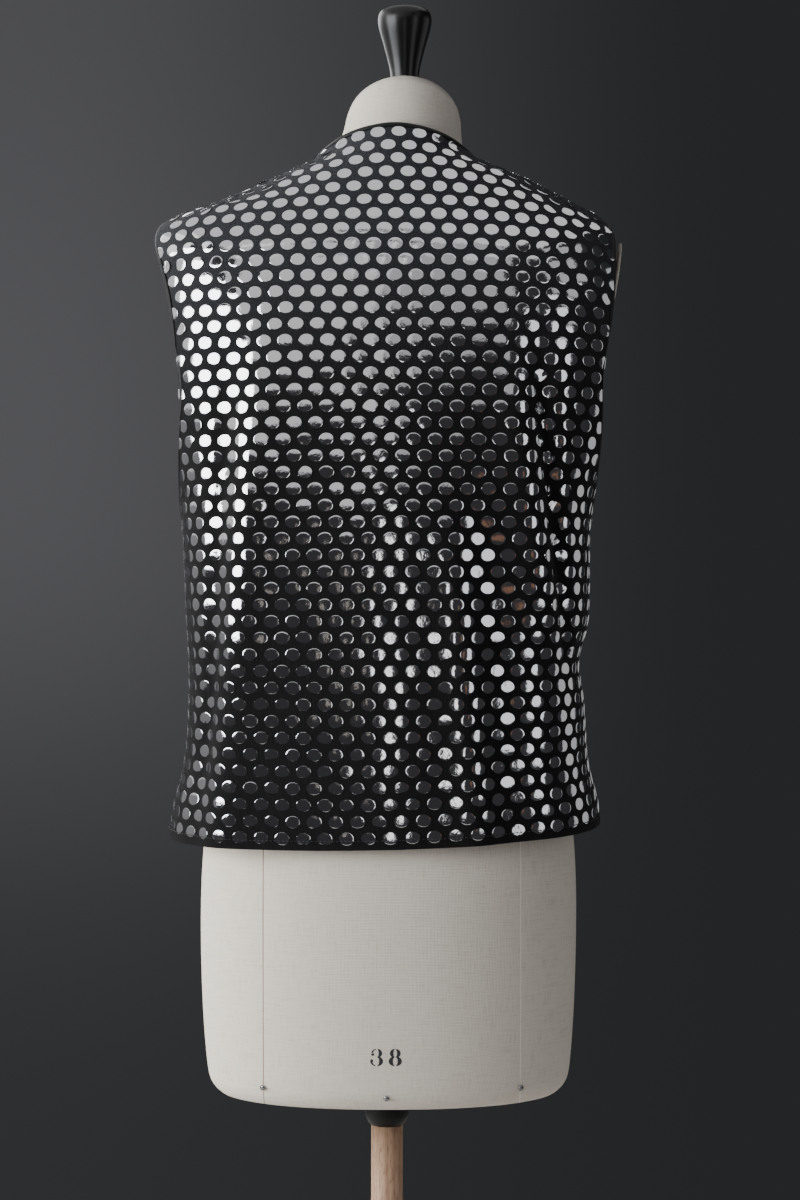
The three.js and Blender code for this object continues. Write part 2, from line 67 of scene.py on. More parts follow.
def new_material(name, colour, roughness, metallic=0.0):
    """A material of that name, its node tree and its shader."""
    material = bpy.data.materials.new(name)
    material.use_nodes = True
    tree = material.node_tree
    shader = tree.nodes["Principled BSDF"]
    shader.inputs["Base Color"].default_value = linear(colour)
    shader.inputs["Roughness"].default_value = roughness
    shader.inputs["Metallic"].default_value = metallic
    return material, tree, shader


def add_node(tree, kind, values=None, links=None, **settings):
    """Adds one node: its settings, its sockets' values, and its links from other sockets."""
    made = tree.nodes.new(kind)
    for name, value in settings.items():
        setattr(made, name, value)
    for socket, value in (values or {}).items():
        made.inputs[socket].default_value = value
    for socket, source in (links or {}).items():
        tree.links.new(source, made.inputs[socket])
    return made


def select_only(piece):
    """Makes a piece the only one that is selected, and the active one."""
    bpy.ops.object.select_all(action="DESELECT")
    piece.select_set(True)
    bpy.context.view_layer.objects.active = piece


def rounded_copy(node, name, levels, crease=0.0, crease_angle=40):
    """A finer piece from a CAD node: its triangles are merged and paired into four-sided
    faces, its sharp edges are creased, and it is subdivided."""
    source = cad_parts[node]
    piece = bpy.data.objects.new(name, source.data.copy())
    piece.data.materials.clear()
    bpy.context.scene.collection.objects.link(piece)
    select_only(piece)
    bpy.ops.object.mode_set(mode="EDIT")
    bpy.ops.mesh.select_all(action="SELECT")
    bpy.ops.mesh.remove_doubles(threshold=0.01 * mm)
    bpy.ops.mesh.tris_convert_to_quads(
        face_threshold=math.radians(50), shape_threshold=math.radians(70))
    if crease:
        bpy.ops.mesh.select_all(action="DESELECT")
        bpy.ops.mesh.select_mode(type="EDGE")
        bpy.ops.mesh.edges_select_sharp(sharpness=math.radians(crease_angle))
        bpy.ops.transform.edge_crease(value=crease)
    bpy.ops.object.mode_set(mode="OBJECT")
    finer = piece.modifiers.new("finer", "SUBSURF")
    finer.levels = levels
    finer.render_levels = levels
    bpy.ops.object.modifier_apply(modifier="finer")
    bpy.ops.object.shade_smooth()
    return piece


def finish_piece(piece, material, slot, *nodes):
    """Gives a piece its material and body, and hides the CAD nodes that it stands for. Its slot is not
    used.
    """
    piece.data.materials.clear()
    piece.data.materials.append(material)
    if nodes:
        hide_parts(*nodes)
    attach(piece, "root")


def beech_material(name, along):
    """Beech has fine straight grain with short darker flecks, drawn here 2 to 3 mm wide."""
    material, tree, shader = new_material(name, "#b2917a", 0.5)
    place = add_node(tree, "ShaderNodeTexCoord")
    stretch = [260.0, 260.0, 260.0]
    stretch[along] = 9.0
    grain_place = add_node(
        tree, "ShaderNodeMapping", {"Scale": stretch}, {"Vector": place.outputs["Object"]})
    grain = add_node(
        tree, "ShaderNodeTexNoise", {"Scale": 1.0, "Detail": 5.0, "Roughness": 0.6},
        {"Vector": grain_place.outputs[0]})
    fleck_stretch = [900.0, 900.0, 900.0]
    fleck_stretch[along] = 110.0
    fleck_place = add_node(
        tree, "ShaderNodeMapping", {"Scale": fleck_stretch}, {"Vector": place.outputs["Object"]})
    flecks = add_node(
        tree, "ShaderNodeTexNoise", {"Scale": 1.0, "Detail": 2.0},
        {"Vector": fleck_place.outputs[0]})
    tones = add_node(tree, "ShaderNodeValToRGB", links={"Fac": grain.outputs["Fac"]})
    tones.color_ramp.elements[0].position = 0.3
    tones.color_ramp.elements[0].color = linear("#94735c")
    tones.color_ramp.elements[1].position = 0.72
    tones.color_ramp.elements[1].color = linear("#bfa088")
    dark = add_node(tree, "ShaderNodeValToRGB", links={"Fac": flecks.outputs["Fac"]})
    dark.color_ramp.elements[0].position = 0.34
    dark.color_ramp.elements[0].color = linear("#c8b8ac")
    dark.color_ramp.elements[1].position = 0.48
    dark.color_ramp.elements[1].color = linear("#ffffff")
    multiply = add_node(
        tree, "ShaderNodeMixRGB", {"Fac": 0.8},
        {"Color1": tones.outputs[0], "Color2": dark.outputs[0]}, blend_type="MULTIPLY")
    tree.links.new(multiply.outputs[0], shader.inputs["Base Color"])
    bump = add_node(
        tree, "ShaderNodeBump", {"Strength": 0.15, "Distance": 0.4 * mm},
        {"Height": grain.outputs["Fac"]})
    tree.links.new(bump.outputs[0], shader.inputs["Normal"])
    return material


pole = rounded_copy("stand_pole", "beech_pole", 2, crease=1.0)
finish_piece(pole, beech_material("varnished beech, grain upright", 2), "beech", "stand_pole")
base = rounded_copy("stand_base", "beech_base", 1, crease=0.5, crease_angle=50)
finish_piece(base, beech_material("varnished beech, grain level", 0), "beech", "stand_base")

socket = rounded_copy("form_socket", "pole_socket", 2, crease=0.6)
socket_paint, _, paint_shader = new_material("black satin paint", "#060607", 0.45)
paint_shader.inputs["Specular IOR Level"].default_value = 0.3
finish_piece(socket, socket_paint, "black_socket", "form_socket")


# Dress form
# A hollow torso and neck of pressed board, padded and covered tight in cream linen canvas,
# which is sewn in long upright panels. The arm holes are closed by oval covered boards.
form_radius = 135
seam_half_width = 0.45
seam_lines = (
    {"x": -106.7, "colour": "#8e6f5f"},
    {"x": 116.3, "colour": "#efe9dc"},
)


def canvas_material():
    """Linen canvas is dull, with round threads of uneven thickness. The real ones are 0.5 mm
    apart; they are drawn 1.3 mm apart so that they show. Two upright seams cross it."""
    material, tree, shader = new_material("cream linen canvas", "#d8d3c6", 0.88)
    shader.inputs["Sheen Weight"].default_value = 0.12
    shader.inputs["Sheen Roughness"].default_value = 0.6
    place = add_node(tree, "ShaderNodeTexCoord")
    axes = add_node(tree, "ShaderNodeSeparateXYZ", links={"Vector": place.outputs["Object"]})
    turn = add_node(
        tree, "ShaderNodeMath", links={0: axes.outputs[0], 1: axes.outputs[1]},
        operation="ARCTAN2")
    around = add_node(
        tree, "ShaderNodeMath", {1: form_radius * mm}, {0: turn.outputs[0]},
        operation="MULTIPLY")
    flat = add_node(
        tree, "ShaderNodeCombineXYZ", links={"X": around.outputs[0], "Y": axes.outputs[2]})
    thread_spacing = 1.3 * mm
    heights = []
    for direction in ("X", "Y"):
        wave = add_node(
            tree, "ShaderNodeTexWave", {
                "Scale": math.pi / 10 / thread_spacing, "Distortion": 1.2,
                "Detail": 2.0, "Detail Scale": 0.35},
            {"Vector": flat.outputs[0]}, bands_direction=direction)
        heights.append(wave.outputs["Fac"])
    weave = add_node(
        tree, "ShaderNodeMath", links={0: heights[0], 1: heights[1]}, operation="MULTIPLY")
    slubs = []
    for stretch in ((900.0, 60.0, 1.0), (50.0, 800.0, 1.0)):
        slub_place = add_node(
            tree, "ShaderNodeMapping", {"Scale": stretch}, {"Vector": flat.outputs[0]})
        slub = add_node(
            tree, "ShaderNodeTexNoise", {"Scale": 1.0, "Detail": 3.0},
            {"Vector": slub_place.outputs[0]})
        slubs.append(slub.outputs["Fac"])
    both = add_node(tree, "ShaderNodeMath", links={0: slubs[0], 1: slubs[1]}, operation="ADD")
    height = add_node(
        tree, "ShaderNodeMath", {2: 0.0}, {0: weave.outputs[0], 1: both.outputs[0]},
        operation="MULTIPLY_ADD")
    tones = add_node(tree, "ShaderNodeValToRGB", links={"Fac": both.outputs[0]})
    tones.color_ramp.elements[0].position = 0.72
    tones.color_ramp.elements[0].color = linear("#cabfb3")
    tones.color_ramp.elements[1].position = 1.0
    tones.color_ramp.elements[1].color = linear("#dad1c6")
    colour = tones.outputs[0]
    for seam in seam_lines:
        beside = add_node(
            tree, "ShaderNodeMath", {1: seam["x"] * mm}, {0: axes.outputs[0]},
            operation="SUBTRACT")
        distance = add_node(
            tree, "ShaderNodeMath", links={0: beside.outputs[0]}, operation="ABSOLUTE")
        line = add_node(
            tree, "ShaderNodeMath", {1: seam_half_width * mm}, {0: distance.outputs[0]},
            operation="LESS_THAN")
        thread = add_node(
            tree, "ShaderNodeMixRGB", {"Color2": linear(seam["colour"])},
            {"Fac": line.outputs[0], "Color1": colour})
        colour = thread.outputs[0]
    tree.links.new(colour, shader.inputs["Base Color"])
    bump = add_node(
        tree, "ShaderNodeBump", {"Strength": 0.4, "Distance": 0.5 * mm},
        {"Height": height.outputs[0]})
    tree.links.new(bump.outputs[0], shader.inputs["Normal"])
    return material


canvas = canvas_material()
bust = rounded_copy("form_bust", "canvas_bust", 2, crease=0.55, crease_angle=48)
finish_piece(bust, canvas, "linen_canvas", "form_bust")
for side_name in ("left", "right"):
    plate = rounded_copy(f"arm_plate_{side_name}", f"canvas_arm_plate_{side_name}", 2, crease=0.5)
    finish_piece(plate, canvas, "linen_canvas", f"arm_plate_{side_name}")


# Size number
# The plain size 38, stencilled in black ink on the canvas near its lower edge. Each line of
# the table is one stroke of the stencil: part of an oval band, or a round dot.
number_place = (0.0, 631.7)
number_start_y = -160
bow_steps = 16
stencil_bows = (
    {"middle": (-8.1, 3.6), "outer": (4.5, 4.0), "inner": (1.5, 3.7), "from": -80, "to": 78},
    {"middle": (-8.3, -3.3), "outer": (5.5, 4.4), "inner": (2.0, 4.1), "from": -78, "to": 80},
    {"middle": (7.6, 3.6), "outer": (4.7, 4.0), "inner": (1.5, 3.7), "from": -80, "to": 80},
    {"middle": (7.6, 3.6), "outer": (4.7, 4.0), "inner": (1.5, 3.7), "from": 100, "to": 260},
    {"middle": (7.6, -3.3), "outer": (5.7, 4.4), "inner": (2.0, 4.1), "from": -80, "to": 80},
    {"middle": (7.6, -3.3), "outer": (5.7, 4.4), "inner": (2.0, 4.1), "from": 100, "to": 260},
    {"middle": (-8.1, 3.6), "outer": (4.9, 4.0), "inner": (3.2, 3.3), "from": 102, "to": 172},
    {"middle": (-8.3, -3.3), "outer": (5.6, 4.4), "inner": (3.7, 3.6), "from": 188, "to": 258},
    {"middle": (-11.7, 2.6), "outer": (1.3, 1.3), "inner": (0.0, 0.0), "from": 0, "to": 360},
    {"middle": (-12.6, -3.0), "outer": (1.4, 1.4), "inner": (0.0, 0.0), "from": 0, "to": 360},
)


def mix(low, high, t):
    """The value between two others, a share t of the way."""
    return low + (high - low) * t


number_points, number_faces = [], []
for bow in stencil_bows:
    first = len(number_points)
    for step in range(bow_steps + 1):
        angle = math.radians(mix(bow["from"], bow["to"], step / bow_steps))
        for reach in (bow["outer"], bow["inner"]):
            x = number_place[0] + bow["middle"][0] + reach[0] * math.cos(angle)
            z = number_place[1] + bow["middle"][1] + reach[1] * math.sin(angle)
            number_points.append((x * mm, number_start_y * mm, z * mm))
    for step in range(bow_steps):
        a = first + 2 * step
        number_faces.append((a, a + 1, a + 3, a + 2))
number_mesh = bpy.data.meshes.new("size_number")
number_mesh.from_pydata(number_points, [], number_faces)
number = bpy.data.objects.new("size_number", number_mesh)
bpy.context.scene.collection.objects.link(number)
select_only(number)
bpy.ops.object.mode_set(mode="EDIT")
bpy.ops.mesh.select_all(action="SELECT")
bpy.ops.mesh.remove_doubles(threshold=0.02 * mm)
bpy.ops.mesh.normals_make_consistent(inside=False)
bpy.ops.object.mode_set(mode="OBJECT")
laid = number.modifiers.new("laid", "SHRINKWRAP")
laid.target = bust
laid.wrap_method = "PROJECT"
laid.use_project_y = True
laid.use_negative_direction = False
laid.use_positive_direction = True
laid.offset = 0.12 * mm
bpy.ops.object.modifier_apply(modifier="laid")
thick = number.modifiers.new("thick", "SOLIDIFY")
thick.thickness = 0.1 * mm
bpy.ops.object.modifier_apply(modifier="thick")
ink, _, _ = new_material("stencil ink", "#26262a", 0.75)
finish_piece(number, ink, "linen_canvas")


# Neck knob
# Turned hardwood under several coats of black lacquer. It closes the neck of the form, and
# its polish mirrors the room softly.
knob = rounded_copy("neck_knob", "lacquered_knob", 2, crease=0.3, crease_angle=50)
lacquer, _, lacquer_shader = new_material("black lacquer", "#0c0c0d", 0.3)
lacquer_shader.inputs["Specular IOR Level"].default_value = 0.35
lacquer_shader.inputs["Coat Weight"].default_value = 0.15
lacquer_shader.inputs["Coat Roughness"].default_value = 0.2
finish_piece(knob, lacquer, "black_lacquer", "neck_knob")


# Nails
# Domed steel upholstery nails, hammered in to hold the canvas at the form's lower edge. Their
# polished heads are bright where they face the window.
steel, _, _ = new_material("polished steel", "#8f8f92", 0.2, metallic=1.0)
for count in (1, 2, 3):
    nail = rounded_copy(f"bottom_nail_{count}", f"steel_nail_{count}", 1)
    finish_piece(nail, steel, "steel_nail", f"bottom_nail_{count}")


# Waistcoat panels
# Dull black tricot knit, cut as one back and two fronts and sewn at the sides and shoulders.
# It hangs from the shoulders, with soft upright folds at both sides and across the hem. The
# first table gives the cloth's level sections, the second each fold's ends, width and height.
cloth_thickness = 2.0
turn_up_thickness = 1.2
hem_depth = 10
seam_gap = 0.3
hem_z = 811
armhole_bottom_z = 1091
shoulder_tip_z = 1366
neck_point_z = 1422
back_neck_rise = 17.5
v_neck_bottom_z = 1255
v_neck_curve = 1.25
front_gap = 3
binding_width = 4.8
armhole_cut = {"back": 76, "front": 84}
hem_rise_reach = 170

section_columns = ("z", "middle", "left", "right", "back", "front", "square")
coat_sections = [dict(zip(section_columns, row)) for row in (
    (811, 0, 196, 193, 125, 136, 2.7),
    (844, 0, 190, 189, 124.5, 136, 2.7),
    (880, 0, 181, 180, 124, 136, 2.8),
    (934, 0, 177, 176, 123.5, 136, 2.9),
    (970, 0, 177, 171.5, 123, 136, 3.0),
    (1006, 0, 179, 180, 122, 136, 3.0),
    (1091, 0, 183, 182, 121, 137, 3.0),
    (1132, 1, 188.5, 190.5, 120, 137, 2.9),
    (1168, 1, 196, 202, 120, 137, 2.7),
    (1240, 2, 207.5, 216, 118, 134, 2.5),
    (1295, 3, 211.5, 220, 113, 120, 2.4),
    (1331, 4, 216, 214.5, 106, 106, 2.3),
    (1349, 4, 215.5, 210.5, 101, 98, 2.1),
    (1366, 5, 195, 194, 95, 90, 2.0),
    (1381, 5, 153, 167, 88, 82, 2.0),
    (1402, 6, 104, 125, 79, 71, 2.0),
    (1422, 7, 63.5, 79, 69, 61, 2.0),
    (1440, 7, 57, 73, 60, 53, 2.0),
)]
fold_columns = ("top_z", "low_z", "top_along", "low_along", "bow", "width", "height")
folds = {
    "back": [dict(zip(fold_columns, row)) for row in (
        (1285, 870, -139, -172, 6, 12, -5),
        (1270, 800, -109, -148, 2, 22, 6),
        (1285, 1000, 128, 166, -4, 10, -7),
        (1240, 1040, 106, 138, -3, 17, 5),
        (1130, 800, 50, 80, 3, 19, 6),
        (1150, 800, 88, 112, 0, 28, -4.5),
        (1250, 790, 4, 10, 0, 58, 5),
    )],
    "front": [dict(zip(fold_columns, row)) for row in (
        (1190, 790, -92, -112, 5, 24, 8),
        (1230, 860, -150, -158, -6, 15, -8),
        (1150, 800, -48, -58, 3, 17, -6),
        (1200, 790, 84, 98, -5, 26, 7),
        (1225, 900, 148, 166, 5, 16, -8),
        (1110, 790, 44, 50, -3, 15, -5),
    )],
}
section_steps = 40
fold_fade_in = 0.35
fold_fade_out = 0.4
fold_end = 1.25
fold_free_edge = 4
fold_edge_reach = 26


def clamp(value, low, high):
    """The value, kept between a low and a high limit."""
    return min(max(value, low), high)


def smooth(t):
    """Eases from 0 to 1 as t goes from 0 to 1."""
    u = clamp(t, 0, 1)
    return u * u * (3 - 2 * u)


def even_steps(low, high, steps):
    """Evenly spaced values from low to high, with both ends."""
    return [mix(low, high, i / steps) for i in range(steps + 1)]


def column_at(table, column, z):
    """One column of a section table at height z, on a smooth curve through its rows."""
    last = len(table) - 1

    def slope(row):
        below = table[max(row - 1, 0)]
        above = table[min(row + 1, last)]
        return (above[column] - below[column]) / (above["z"] - below["z"])

    row = 0
    while row < last - 1 and z > table[row + 1]["z"]:
        row += 1
    low, high = table[row], table[row + 1]
    step = high["z"] - low["z"]
    t = clamp((z - low["z"]) / step, 0, 1)
    leaving = t * (1 - t) * (1 - t) * step * slope(row)
    arriving = t * t * (t - 1) * step * slope(row + 1)
    return mix(low[column], high[column], smooth(t)) + leaving + arriving


@lru_cache(maxsize=None)
def coat_quarter(face, side, z):
    """A quarter of the section at height z: middle, reach, depth, power and lengths along it."""
    middle = column_at(coat_sections, "middle", z)
    reach = column_at(coat_sections, "left" if side < 0 else "right", z) - side * middle
    depth = column_at(coat_sections, face, z)
    power = 2 / column_at(coat_sections, "square", z)
    lengths = [0.0]
    before = (0.0, depth)
    for i in range(1, section_steps + 1):
        angle = i / section_steps * math.pi / 2
        here = (reach * math.sin(angle) ** power, depth * max(math.cos(angle), 0.0) ** power)
        lengths.append(lengths[-1] + math.hypot(here[0] - before[0], here[1] - before[1]))
        before = here
    return middle, reach, depth, power, lengths


def coat_length(face, side, z):
    """The length of cloth from the centre line to the side seam at height z."""
    return coat_quarter(face, side, z)[4][-1]


def fold_height(face, along, edge_distance, z):
    """How far the folds move the cloth outwards at this distance along it and this height."""
    height = 0.0
    for fold in folds[face]:
        t = (fold["top_z"] - z) / (fold["top_z"] - fold["low_z"])
        if not 0 < t < fold_end:
            continue
        middle = mix(fold["top_along"], fold["low_along"], t)
        middle += fold["bow"] * math.sin(math.pi * min(t, 1))
        offset = (along - middle) / fold["width"]
        fade = smooth(t / fold_fade_in) * smooth((fold_end - t) / fold_fade_out)
        height += fold["height"] * math.exp(-offset * offset) * fade
    return height * smooth((edge_distance - fold_free_edge) / fold_edge_reach)


def coat_point(face, share, z):
    """A point of the cloth's outer face, in millimetres. Share is its place across: 0 at the
    centre line, -1 at the left side seam and 1 at the right one."""
    side = -1 if share < 0 else 1
    middle, reach, depth, power, lengths = coat_quarter(face, side, round(z, 2))
    target = min(abs(share), 1.0) * lengths[-1]
    low, high = 0, section_steps
    while high - low > 1:
        half = (low + high) // 2
        if lengths[half] < target:
            low = half
        else:
            high = half
    part = (target - lengths[low]) / (lengths[high] - lengths[low])
    angle = (low + part) / section_steps * math.pi / 2
    sine, cosine = max(math.sin(angle), 0.0), max(math.cos(angle), 0.0)
    out_x = sine ** (2 - power) / reach
    out_y = cosine ** (2 - power) / depth
    edge_distance = (1 - abs(share)) * lengths[-1]
    lift = fold_height(face, share * lengths[-1], edge_distance, z) / math.hypot(out_x, out_y)
    x = reach * sine ** power + lift * out_x
    y = depth * cosine ** power + lift * out_y
    return Vector((middle + side * x, -y if face == "back" else y, z))


def coat_spot(face, share, z):
    """The same point with the cloth's directions there: across to the right, and outwards."""
    point = coat_point(face, share, z)
    nudge = 0.004
    nudge_up = 1.5
    left = coat_point(face, max(share - nudge, -1), z)
    right = coat_point(face, min(share + nudge, 1), z)
    across = right - left
    up = coat_point(face, share, z + nudge_up) - coat_point(face, share, z - nudge_up)
    normal = across.cross(up)
    if face == "front":
        normal = -normal
    if abs(point.y) < 1:
        normal.y = 0
    return point, across.normalized(), normal.normalized()


def armhole_height(z):
    """A height in the armhole: -1 at its lowest point and 1 at the shoulder tip."""
    middle = (armhole_bottom_z + shoulder_tip_z) / 2
    return clamp((z - middle) / (shoulder_tip_z - middle), -1, 1)


def outer_share(face, side, z):
    """The share across a panel of its outer edge: side seam, armhole or shoulder seam."""
    cut = armhole_cut[face] * math.sqrt(1 - armhole_height(z) ** 2)
    return 1 - max(cut, seam_gap / 2) / coat_length(face, side, z)


def inner_share(side, z):
    """The share across a front of its inner edge: the front edge, then the V neck's slant."""
    edge = front_gap / 2 + binding_width + seam_gap
    neck_length = coat_length("front", side, neck_point_z) - seam_gap / 2
    t = clamp((z - v_neck_bottom_z) / (neck_point_z - v_neck_bottom_z), 0, 1)
    return mix(edge, neck_length, t ** v_neck_curve) / coat_length("front", side, z)


def hem_rise(face, share, z):
    """The hem dips at the centre back and rises to the right side seam."""
    if face == "back":
        at_hem = 11 * share * share + 7 * share
    else:
        at_hem = 13 - 2 * share * share + 7 * share
    return at_hem * (1 - smooth((z - hem_z) / hem_rise_reach))


def panel_levels():
    """The levels of a panel's rows: below the armhole, beside it and over the shoulder."""
    below = [hem_z, hem_z + 3, hem_z + 6, hem_z + 8.5]
    below += even_steps(hem_z + hem_depth, armhole_bottom_z, 56)
    middle = (armhole_bottom_z + shoulder_tip_z) / 2
    half = (shoulder_tip_z - armhole_bottom_z) / 2
    beside = [middle - half * math.cos(angle) for angle in even_steps(0, math.pi, 48)]
    return below, beside, even_steps(shoulder_tip_z, neck_point_z, 14)


def back_places():
    """Rows of (share, level, height) over the back."""
    below, beside, over = panel_levels()
    rows = []
    for level in below + beside[1:] + over[1:]:
        row = []
        for across in even_steps(-1, 1, 116):
            edge = outer_share("back", -1 if across < 0 else 1, level)
            share = across * mix(1, edge, abs(across) ** 3)
            over_shoulder = smooth((level - shoulder_tip_z) / (neck_point_z - shoulder_tip_z))
            neck = back_neck_rise * math.cos(across * math.pi / 2) ** 2 * over_shoulder
            row.append((share, level, level + hem_rise("back", share, level) + neck))
        rows.append(row)
    return rows


def front_places(side):
    """Rows of (share, level, height) over one front."""
    below, beside, over = panel_levels()
    ends = [(level, level) for level in below]
    for level in beside[1:]:
        climb = (level - armhole_bottom_z) / (shoulder_tip_z - armhole_bottom_z)
        ends.append((mix(armhole_bottom_z, neck_point_z, climb), level))
    rows = []
    for inner_z, outer_z in ends:
        row = []
        for across in even_steps(0, 1, 58):
            level = mix(inner_z, outer_z, across)
            inner = inner_share(side, inner_z)
            outer = outer_share("front", side, outer_z)
            share = side * (mix(inner, 1, across) - (1 - outer) * across ** 3)
            row.append((share, level, level + hem_rise("front", share, level)))
        rows.append(row)
    return rows


def cloth_wall(name, face, places, turned):
    """A closed wall of cloth: an outer and an inner sheet joined along the edges. Its UV map
    is in metres across and up the cloth. A turned wall's rows run from right to left."""
    outer, inner, flat = [], [], []
    for row in places:
        travelled = 0.0
        before = None
        for share, level, z in row:
            point, across, normal = coat_spot(face, share, z)
            above_hem = level - hem_z
            turn_up = turn_up_thickness * (1 - smooth((above_hem - hem_depth * 0.8) / 4))
            outer.append(point * mm)
            inner.append((point - normal * (cloth_thickness + turn_up)) * mm)
            travelled += (point - before).length if before else 0.0
            before = point
            flat.append((travelled * mm, z * mm))
    rows, columns = len(places), len(places[0])
    count = rows * columns
    faces = []
    for r in range(rows - 1):
        for c in range(columns - 1):
            a = r * columns + c
            quad = (a, a + 1, a + columns + 1, a + columns)
            faces.append(quad)
            faces.append(tuple(i + count for i in reversed(quad)))
    rim = [c for c in range(columns - 1)]
    rim += [r * columns + columns - 1 for r in range(rows - 1)]
    rim += [(rows - 1) * columns + c for c in range(columns - 1, 0, -1)]
    rim += [r * columns for r in range(rows - 1, 0, -1)]
    for a, b in zip(rim, rim[1:] + rim[:1]):
        faces.append((a + count, b + count, b, a))
    if turned:
        faces = [tuple(reversed(f)) for f in faces]
    mesh = bpy.data.meshes.new(name)
    mesh.from_pydata(outer + inner, [], faces)
    uv = mesh.uv_layers.new(name="cloth")
    for loop in mesh.loops:
        uv.data[loop.index].uv = flat[loop.vertex_index % count]
    piece = bpy.data.objects.new(name, mesh)
    bpy.context.scene.collection.objects.link(piece)
    select_only(piece)
    bpy.ops.object.shade_smooth_by_angle(angle=math.radians(50))
    return piece


# Heights over which the knit's colour is painted paler: painted light from above on the shoulders.
painted_light_from_z = 1160
painted_light_to_z = 1440


def knit_material():
    """Tricot knit is matt with a faint nap. Its colour is painted paler over the shoulders, as
    painted light from above. Its loops stand in upright rows, 0.6 mm apart on the real cloth
    and drawn 1.2 mm apart."""
    material, tree, shader = new_material("black tricot knit", "#080809", 0.75)
    shader.inputs["Sheen Weight"].default_value = 0.03
    shader.inputs["Sheen Roughness"].default_value = 0.5
    shader.inputs["Specular IOR Level"].default_value = 0.16
    place = add_node(tree, "ShaderNodeTexCoord")
    loop_spacing = 1.2 * mm
    wave = add_node(
        tree, "ShaderNodeTexWave", {
            "Scale": math.pi / 10 / loop_spacing, "Distortion": 2.5,
            "Detail": 2.0, "Detail Scale": 1.5},
        {"Vector": place.outputs["UV"]}, bands_direction="X")
    rough = add_node(
        tree, "ShaderNodeTexNoise", {"Scale": 900.0, "Detail": 3.0},
        {"Vector": place.outputs["UV"]})
    height = add_node(
        tree, "ShaderNodeMath", links={0: wave.outputs["Fac"], 1: rough.outputs["Fac"]},
        operation="ADD")
    tones = add_node(tree, "ShaderNodeValToRGB", links={"Fac": rough.outputs["Fac"]})
    tones.color_ramp.elements[0].position = 0.42
    tones.color_ramp.elements[0].color = linear("#020203")
    tones.color_ramp.elements[1].position = 0.64
    tones.color_ramp.elements[1].color = linear("#0d0d0f")
    # Painted light: paler tones, mixed in towards the shoulders, stand for light falling from above.
    painted_light_tones = add_node(tree, "ShaderNodeValToRGB", links={"Fac": rough.outputs["Fac"]})
    painted_light_tones.color_ramp.elements[0].position = 0.4
    painted_light_tones.color_ramp.elements[0].color = linear("#19191c")
    painted_light_tones.color_ramp.elements[1].position = 0.66
    painted_light_tones.color_ramp.elements[1].color = linear("#46464d")
    axes = add_node(tree, "ShaderNodeSeparateXYZ", links={"Vector": place.outputs["Object"]})
    painted_light_share = add_node(
        tree, "ShaderNodeMapRange",
        {"From Min": painted_light_from_z * mm, "From Max": painted_light_to_z * mm}, {"Value": axes.outputs[2]},
        interpolation_type="SMOOTHSTEP")
    colour = add_node(
        tree, "ShaderNodeMixRGB", links={
            "Fac": painted_light_share.outputs[0], "Color1": tones.outputs[0], "Color2": painted_light_tones.outputs[0]})
    tree.links.new(colour.outputs[0], shader.inputs["Base Color"])
    bump = add_node(
        tree, "ShaderNodeBump", {"Strength": 0.5, "Distance": 0.5 * mm},
        {"Height": height.outputs[0]})
    tree.links.new(bump.outputs[0], shader.inputs["Normal"])
    return material


knit = knit_material()
panels = {
    "back": cloth_wall("knit_back", "back", back_places(), False),
    "front_left": cloth_wall("knit_front_left", "front", front_places(-1), False),
    "front_right": cloth_wall("knit_front_right", "front", front_places(1), True),
}
for panel_name, panel in panels.items():
    finish_piece(panel, knit, "foil_disc_knit", f"waistcoat_{panel_name}")


# Bindings
# Bias strips of black satin, folded over the raw edges of the neck, fronts and armholes and
# sewn down. The weave's threads run slanting across them, drawn 1.5 mm apart.
satin, satin_tree, satin_shader = new_material("black satin", "#0f0f11", 0.5)
satin_shader.inputs["Specular IOR Level"].default_value = 0.3
satin_place = add_node(satin_tree, "ShaderNodeTexCoord")
satin_threads = add_node(
    satin_tree, "ShaderNodeTexWave", {"Scale": 250.0, "Distortion": 1.0, "Detail": 1.0},
    {"Vector": satin_place.outputs["Object"]}, bands_direction="DIAGONAL")
satin_bump = add_node(
    satin_tree, "ShaderNodeBump", {"Strength": 0.2, "Distance": 0.2 * mm},
    {"Height": satin_threads.outputs["Fac"]})
satin_tree.links.new(satin_bump.outputs[0], satin_shader.inputs["Normal"])
for node in (
    "neck_binding", "front_binding_left", "front_binding_right",
    "armhole_binding_left", "armhole_binding_right",
):
    binding = rounded_copy(node, f"satin_{node}", 2)
    finish_piece(binding, satin, "satin_binding", node)


# Foil discs
# Thin silver film, cut as ovals and pressed hot onto the knit in a staggered grid. They mirror
# the room, and each lies at a slightly different tilt. Those at an edge run under its binding.
disc_half_width = 6.6
disc_half_height = 5.4
disc_pitch = 18.6
row_pitch = 14.2
disc_offset = 3.6
disc_lift = 0.22
disc_dome = 0.1
disc_bevel = 0.1
disc_thickness = 0.2
disc_sides = 14
disc_size_spread = 0.03
disc_unrest = 0.022
flank_unrest = 0.035
hem_tilt = 0.055
under_binding = 1.2
near_edge_reach = 16
shoulder_bare = 8
shoulder_zone = 12
hem_bare = 1.6
narrowest_disc = 3
neck_zone_z = 1400
bend_reach = 6.0
bend_reach_up = 5.0
steepest = 0.3
level_row = 29
level_row_z = 1034
top_row = -1
bottom_row = 46
last_column = 34
path_low_z = 806.0
path_high_z = 1440
path_step = 4.0


@lru_cache(maxsize=None)
def fine_lengths(face, side, z):
    """Angles round a quarter of the section, and the true lengths along it at each."""
    middle, reach, depth, power, lengths = coat_quarter(face, side, z)
    angles, true_lengths = [0.0], [0.0]
    before = (0.0, depth)
    for u in even_steps(0, 1, 100)[1:]:
        part = u ** 1.5 / (u ** 1.5 + (1 - u) ** 1.5)
        angle = part * math.pi / 2
        here = (reach * math.sin(angle) ** power, depth * max(math.cos(angle), 0.0) ** power)
        true_lengths.append(true_lengths[-1] + math.hypot(here[0] - before[0], here[1] - before[1]))
        angles.append(angle)
        before = here
    return angles, true_lengths


